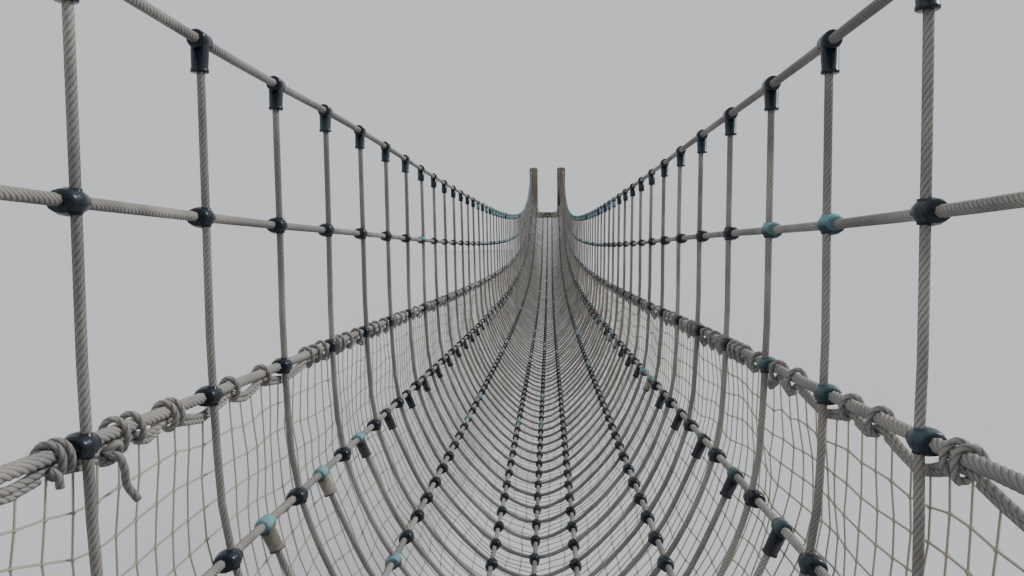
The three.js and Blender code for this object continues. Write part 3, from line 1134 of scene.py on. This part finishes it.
class MESH_OT_footbridge_netting(bpy.types.Operator):
    """Hang the knotted square netting outside the ropes, from handrail to handrail"""

    bl_idname = "mesh.footbridge_netting"
    bl_label = "Netting"

    # The net's own section, outside the ropes
    line = ((0.500, 0.764), (0.497, 0.642), (0.488, 0.516), (0.362, 0.238), (0.150, 0.020),
            (0.0, -0.036))
    # Pieces along the walk
    bays = 3
    # How far the knots stray down the section, along the walk and outwards
    stray = (0.010, 0.009, 0.008)
    # How much of the head rope's slack the top rows share
    held = (1.0, 0.55, 0.2)
    # The twine has three sides, so it is made a little thicker to look round
    fullness = 1.18
    lay = 0.02
    # A knot's size as a share of the twine's radius
    knot_size = 2.3

    def execute(self, context):
        sizes = context.scene.footbridge_sizes
        for index, (side, sign) in enumerate(SIDES.items()):
            self.hang(sizes, side, sign, HeadRope(sizes, side), np.random.default_rng(51 + index))
        return {"FINISHED"}

    def knots(self, sizes, sign, head, rng):
        """The knots' places: rows along the walk, columns down the section."""
        curve = smooth_curve(self.line, 12)
        run = np.concatenate([[0], np.cumsum(np.linalg.norm(np.diff(curve, axis=0), axis=1))])
        marks = np.linspace(0, run[-1], sizes.meshes_round + 1)
        across = np.interp(marks, run, curve[:, 0])
        height = np.interp(marks, run, curve[:, 1])
        slope = unit(np.stack([np.gradient(across), np.gradient(height)], -1))
        k = np.arange(ROPE_START, ROPE_END, 1 / sizes.meshes_along)
        shape = (len(k), len(marks))
        edge = np.minimum(1, np.arange(len(marks)) / 2.0)
        centre = np.minimum(1, (len(marks) - 1 - np.arange(len(marks))) / 2.0)
        slack = smooth_noise(rng, shape, (4, 4)) * self.stray[0] * edge * centre
        drift = smooth_noise(rng, shape, (3, 3)) * self.stray[1] * edge * centre
        belly = np.abs(smooth_noise(rng, shape, (6, 5))) * self.stray[2] * edge
        wide = across + slope[:, 0] * slack - slope[:, 1] * belly
        tall = height + slope[:, 1] * slack + slope[:, 0] * belly
        # The top row is tied under the head rope, and the next rows share its slack
        head_across, head_height = head.place(k)
        for row, hold in enumerate(self.held):
            wide[:, row] += hold * (head_across - across[0])
            tall[:, row] += hold * (head_height - sizes.lashing / 2 - height[0])
        return on_bridge(sign * wide, tall, k[:, None] + drift / PITCH), k

    def hang(self, sizes, side, sign, head, rng):
        places, k = self.knots(sizes, sign, head, rng)
        outward = np.zeros_like(places)
        outward[..., 0] = places[..., 0]
        outward[..., 2] = -0.35
        thick = sizes.twine / 2 * self.fullness
        limits = np.linspace(0, len(k) - 1, self.bays + 1).astype(int)
        for bay in range(self.bays):
            rows = slice(limits[bay], limits[bay + 1] + 1)
            part, faced = places[rows], outward[rows]
            # The last row of a bay is the next bay's first, and the centre line is the left side's
            down = slice(None) if bay == self.bays - 1 else slice(-1)
            along = slice(None) if side == "left" else slice(-1)
            batch = Batch()
            for lines, guide in ((part[down], faced[down]),
                                 (part.transpose(1, 0, 2)[along], faced.transpose(1, 0, 2)[along])):
                sweep(batch, lines, guide, thick, 3, self.lay)
            closely = k[rows][down] <= FINE_TO
            for chosen, knot in ((closely, self.fine_knot), (~closely, self.plain_knot)):
                self.tie(batch, part[down][chosen].reshape(-1, 3), thick * self.knot_size, knot)
            batch.piece(f"{side}_netting_{bay + 1}", "knotted_twine", "net_twine")

    # Corners and faces of a knot, closely seen and farther along
    fine_knot = (((1, 0, 0), (-1, 0, 0), (0, 1, 0), (0, -1, 0), (0, 0, 1), (0, 0, -1)),
                 ((0, 2, 4), (2, 1, 4), (1, 3, 4), (3, 0, 4),
                  (2, 0, 5), (1, 2, 5), (3, 1, 5), (0, 3, 5)))
    plain_knot = (((0.7, 0.7, 0.7), (-0.7, -0.7, 0.7), (-0.7, 0.7, -0.7), (0.7, -0.7, -0.7)),
                  ((0, 2, 1), (0, 1, 3), (0, 3, 2), (1, 2, 3)))

    def tie(self, batch, at, size, form):
        """A small knot at each crossing."""
        corners, faces = (np.array(part) for part in form)
        batch.add(at[:, None] + corners * size, repeated(faces, len(at), len(corners)))


class MESH_OT_footbridge_rope_ends(bpy.types.Operator):
    """Splice each rope's end round an eye bolt through the post or sill"""

    bl_idname = "mesh.footbridge_rope_ends"
    bl_label = "Rope Ends and Eye Bolts"

    # The bolt's eye: its middle's distance from the timber, its radius and that of its bar
    eye_reach = 0.040
    eye_radius = 0.019
    eye_bar = 0.0062
    # The thimble inside the rope's eye: how far it lies towards the splice, and its share of the width
    thimble_shift = 0.008
    thimble_width = 0.55
    thimble_bar = 0.0035
    bolt_radius = 0.0075
    # Length of the ferrule over the splice, without its tapered end
    ferrule = 0.052
    # The washer as place along the bolt and radius, with the bolt's hole in the middle
    washer = ((0.0, 0.012), (0.0, 0.028), (0.005, 0.028), (0.006, 0.026), (0.006, 0.012))
    washer_depth = 0.006

    def execute(self, context):
        sizes = context.scene.footbridge_sizes
        places = [(sign, place) for sign in SIDES.values() for place in HALF_SECTION[:-1]]
        places.append((RIGHT, CENTRE))
        for end in ENDS:
            loops, steel = Batch(), Batch()
            for sign, place in places:
                radius = (sizes.handrail if place is HANDRAIL else sizes.rope) / 2
                self.fasten(loops, steel, end, sign, place, radius)
            loops.piece(f"{end}_rope_eyes", "laid_rope", "rope")
            steel.piece(f"{end}_eye_bolts", "dull_galvanised_steel", "steel")
        return {"FINISHED"}

    def fasten(self, loops, steel, end, sign, place, radius):
        """One rope's eye with its thimble and ferrule, and the eye bolt that holds it."""
        k, face, inwards = {"near": (ROPE_START, FACE_NEAR, 1.0),
                            "far": (ROPE_END, FACE_FAR, -1.0)}[end]
        splice = on_bridge(sign * place[0], place[1], k)
        anchor = np.array([sign * place[0], face, FLOOR_START + place[1]])
        away, rise, across = facing(splice - anchor, UP)
        length = np.linalg.norm(splice - anchor)

        # Half of the eye's outline, from the bolt to the splice: half width and reach
        half = [(0.0, 0.024), (0.010 + radius, 0.030), (0.014 + radius, 0.048), (0.010 + radius, 0.075),
                (radius * 0.95, 0.105), (radius * 0.75, length)]
        outline = [(-x, reach) for x, reach in half[:0:-1]] + half
        eye = [anchor + away * reach + across * x for x, reach in outline]
        sweep(loops, smooth_curve(eye, 4)[None], rise, radius * 0.92, 8, 0.05)
        thimble = [anchor + away * (reach + self.thimble_shift) + across * x * self.thimble_width
                   for x, reach in outline[1:-1]]
        sweep(steel, smooth_curve(thimble, 3)[None], rise, self.thimble_bar, 5)
        ferrule = turned([(0.0, radius * 1.5), (0.004, radius * 1.95), (self.ferrule, radius * 1.95),
                          (self.ferrule + 0.008, radius * 1.4)], 14)
        place_all(steel, ferrule, anchor + away * (length - self.ferrule), (away, rise, across))

        angle = np.linspace(0, 2 * math.pi, 17)
        ring = anchor + away * self.eye_reach
        ring = ring + (np.outer(np.cos(angle), away) + np.outer(np.sin(angle), rise)) * self.eye_radius
        sweep(steel, ring[None], across, self.eye_bar, 8, capped=False)
        bolt = facing((0.0, inwards, 0.0), UP)
        shank = turned([(-0.002, self.bolt_radius), (0.026, self.bolt_radius)], 10)
        place_all(steel, shank, anchor, bolt)
        place_all(steel, turned(self.washer, 16), anchor, bolt)
        if place[1] >= EDGE[1] or place is CENTRE:
            self.nut(steel, anchor - bolt[0] * POST_DEPTH, -bolt[0])

    def nut(self, steel, at, out):
        """The washer, nut and bolt end on a timber's other face."""
        axes = facing(out, UP)
        nut = turned([(0.0, 0.0135), (0.011, 0.0135), (0.012, 0.012)], 6)
        bolt_end = turned([(0.0, self.bolt_radius), (0.026, self.bolt_radius), (0.028, 0.005)], 10)
        place_all(steel, turned(self.washer, 16), at, axes)
        place_all(steel, nut, at + out * self.washer_depth, axes)
        place_all(steel, bolt_end, at, axes)


class MESH_OT_footbridge_timber(bpy.types.Operator):
    """Shape the posts and sills, with worn edges and weathered tops"""

    bl_idname = "mesh.footbridge_timber"
    bl_label = "Posts and Sills"

    # Radius of the worn edges, and the height of a post's cut top
    post_edge = 0.012
    sill_edge = 0.010
    crown = 0.045
    # How far the faces are worn: all over, and here and there. They are worn in so many rings.
    worn = (0.0016, 0.0012)
    worn_rings = 22
    # The cut top's rings: size as a share of the post's, and height as a share of the crown's
    crown_rings = ((0.93, 0.35), (0.5, 0.85), (0.06, 1.0))

    def execute(self, context):
        for end in ENDS:
            for side in SIDES:
                self.shape(f"{end}_{side}_post", self.post_edge, self.crown)
            self.shape(f"{end}_sill", self.sill_edge, 0.0)
        return {"FINISHED"}

    def outline(self, width, depth, edge):
        """A rectangle's outline with round corners, and four points along each straight side."""
        arc = np.linspace(0, math.pi / 2, 5)[:, None]
        corners = []
        for index, (x, y) in enumerate(((1, 1), (-1, 1), (-1, -1), (1, -1))):
            angle = arc + index * math.pi / 2
            middle = np.array([x * (width - edge), y * (depth - edge)])
            corners.append(middle + edge * np.hstack([np.cos(angle), np.sin(angle)]))
        straight = np.arange(1, 5)[:, None] / 5
        sides = [corner[-1] + (following[0] - corner[-1]) * straight
                 for corner, following in zip(corners, corners[1:] + corners[:1])]
        return np.concatenate([part for pair in zip(corners, sides) for part in pair])

    def shape(self, node, edge, crown):
        """A box with worn edges. A post's top is cut to shed water."""
        low, high = (np.array(v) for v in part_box(node))
        centre, half = (low + high) / 2, (high - low) / 2
        upright = crown > 0
        long_axis = 2 if upright else 0
        flat = [i for i in range(3) if i != long_axis]
        rng = np.random.default_rng(sum(map(ord, node)))
        outline = self.outline(*half[flat], edge)
        count = len(outline)
        length = half[long_axis]
        levels = np.concatenate([[-length, -length + edge * 0.4],
                                 np.linspace(-length + 0.06, length - crown - 0.02, self.worn_rings),
                                 [length - crown]])
        rings = []
        for index, level in enumerate(levels):
            sawn = index == 0 or (not upright and index == len(levels) - 1)
            wear = smooth_noise(rng, (count, 1), (3, 1)) * self.worn[1]
            inset = (edge * 0.5 if sawn else 0.0) + self.worn[0] + wear
            rings.append((1 - inset / np.linalg.norm(outline, axis=1, keepdims=True), level))
        if upright:
            rings += [(share, length - crown + crown * rise) for share, rise in self.crown_rings]
        points = np.zeros((len(rings), count, 3))
        for ring, (share, level) in zip(points, rings):
            ring[:, flat] = outline * share
            ring[:, long_axis] = level
        batch = Batch()
        batch.add(points + centre, ring_quads(len(rings), count))
        batch.cap(end_caps(len(rings), count))
        batch.piece(f"{node}_timber", "weathered_timber", "timber", [node])


class MESH_OT_footbridge_stage(bpy.types.Operator):
    """Set the camera, the soft light and the plain floor"""

    bl_idname = "mesh.footbridge_stage"
    bl_label = "Stage"

    # The floor's half width, and how far it lies below the bridge
    floor_reach = 1500.0
    floor_below = 0.12
    floor_grey = (0.528, 0.535, 0.545, 1.0)
    sky = (0.93, 0.96, 1.0, 1.0)
    sky_strength = 0.75
    # Wide soft lights, so that the long walk is lit evenly: name, where it shines from, width, power
    suns = (("key", (0.75, 0.30, 0.58), 12.0, 3.0), ("fill", (-0.6, -0.5, 0.6), 40.0, 0.35))

    def execute(self, context):
        self.floor()
        self.camera(context)
        self.light(context)
        return {"FINISHED"}

    def floor(self):
        reach, below = self.floor_reach, self.floor_below
        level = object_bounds()[0].z - below
        corners = [(x * reach, SPAN / 2 + y * reach, level)
                   for x, y in ((-1, -1), (1, -1), (1, 1), (-1, 1))]
        mesh = bpy.data.meshes.new("studio_floor")
        mesh.from_pydata(corners, [], [(0, 1, 2, 3)])
        mesh.materials.append(Finish("studio_floor").finish(self.floor_grey, 0.9, specular=0.0))
        floor = add_object("studio_floor", mesh)
        floor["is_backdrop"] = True

    def camera(self, context):
        data = bpy.data.cameras.new("photo_view")
        data.sensor_width = SENSOR
        data.lens = FOCAL_PIXELS / IMAGE_WIDTH * SENSOR
        data.clip_start = 0.05
        data.clip_end = 2500.0
        camera = add_object("photo_view", data)
        camera.location = CAMERA_PLACE
        camera.rotation_mode = "XYZ"
        camera.rotation_euler = (math.pi / 2 + CAMERA_PITCH, CAMERA_ROLL, CAMERA_TURN)
        context.scene.camera = camera

    def light(self, context):
        world = bpy.data.worlds.new("soft_studio")
        world.use_nodes = True
        background = world.node_tree.nodes["Background"]
        background.inputs["Color"].default_value = self.sky
        background.inputs["Strength"].default_value = self.sky_strength
        context.scene.world = world
        for name, towards, spread, power in self.suns:
            data = bpy.data.lights.new(name, "SUN")
            data.angle = math.radians(spread)
            data.energy = power
            lamp = add_object(name, data)
            lamp.location = Vector(towards) * 20
            lamp.rotation_euler = Vector(towards).to_track_quat("Z", "Y").to_euler()


OPERATORS = (
    MESH_OT_footbridge_long_ropes,
    MESH_OT_footbridge_handrails,
    MESH_OT_footbridge_cross_ropes,
    MESH_OT_footbridge_ball_connectors,
    MESH_OT_footbridge_tee_connectors,
    MESH_OT_footbridge_lashing,
    MESH_OT_footbridge_netting,
    MESH_OT_footbridge_rope_ends,
    MESH_OT_footbridge_timber,
    MESH_OT_footbridge_stage,
)


class VIEW3D_PT_footbridge(bpy.types.Panel):
    """The footbridge's sizes, colours and pieces"""

    bl_label = "Rope Footbridge"
    bl_idname = "VIEW3D_PT_footbridge"
    bl_space_type = "VIEW_3D"
    bl_region_type = "UI"
    bl_category = "Footbridge"

    def draw(self, context):
        layout = self.layout
        for group in (context.scene.footbridge_sizes, context.scene.footbridge_colours):
            column = layout.column(align=True)
            for name in group.__annotations__:
                column.prop(group, name)
        column = layout.column(align=True)
        for operator in OPERATORS:
            column.operator(operator.bl_idname)


CLASSES = (FootbridgeSizes, FootbridgeColours, *OPERATORS, VIEW3D_PT_footbridge)


def register():
    for cls in CLASSES:
        bpy.utils.register_class(cls)
    bpy.types.Scene.footbridge_sizes = bpy.props.PointerProperty(type=FootbridgeSizes)
    bpy.types.Scene.footbridge_colours = bpy.props.PointerProperty(type=FootbridgeColours)


def unregister():
    del bpy.types.Scene.footbridge_colours
    del bpy.types.Scene.footbridge_sizes
    for cls in reversed(CLASSES):
        bpy.utils.unregister_class(cls)


def main():
    register()
    for operator in OPERATORS:
        group, name = operator.bl_idname.split(".")
        getattr(getattr(bpy.ops, group), name)()


if __name__ == "__main__":
    main()
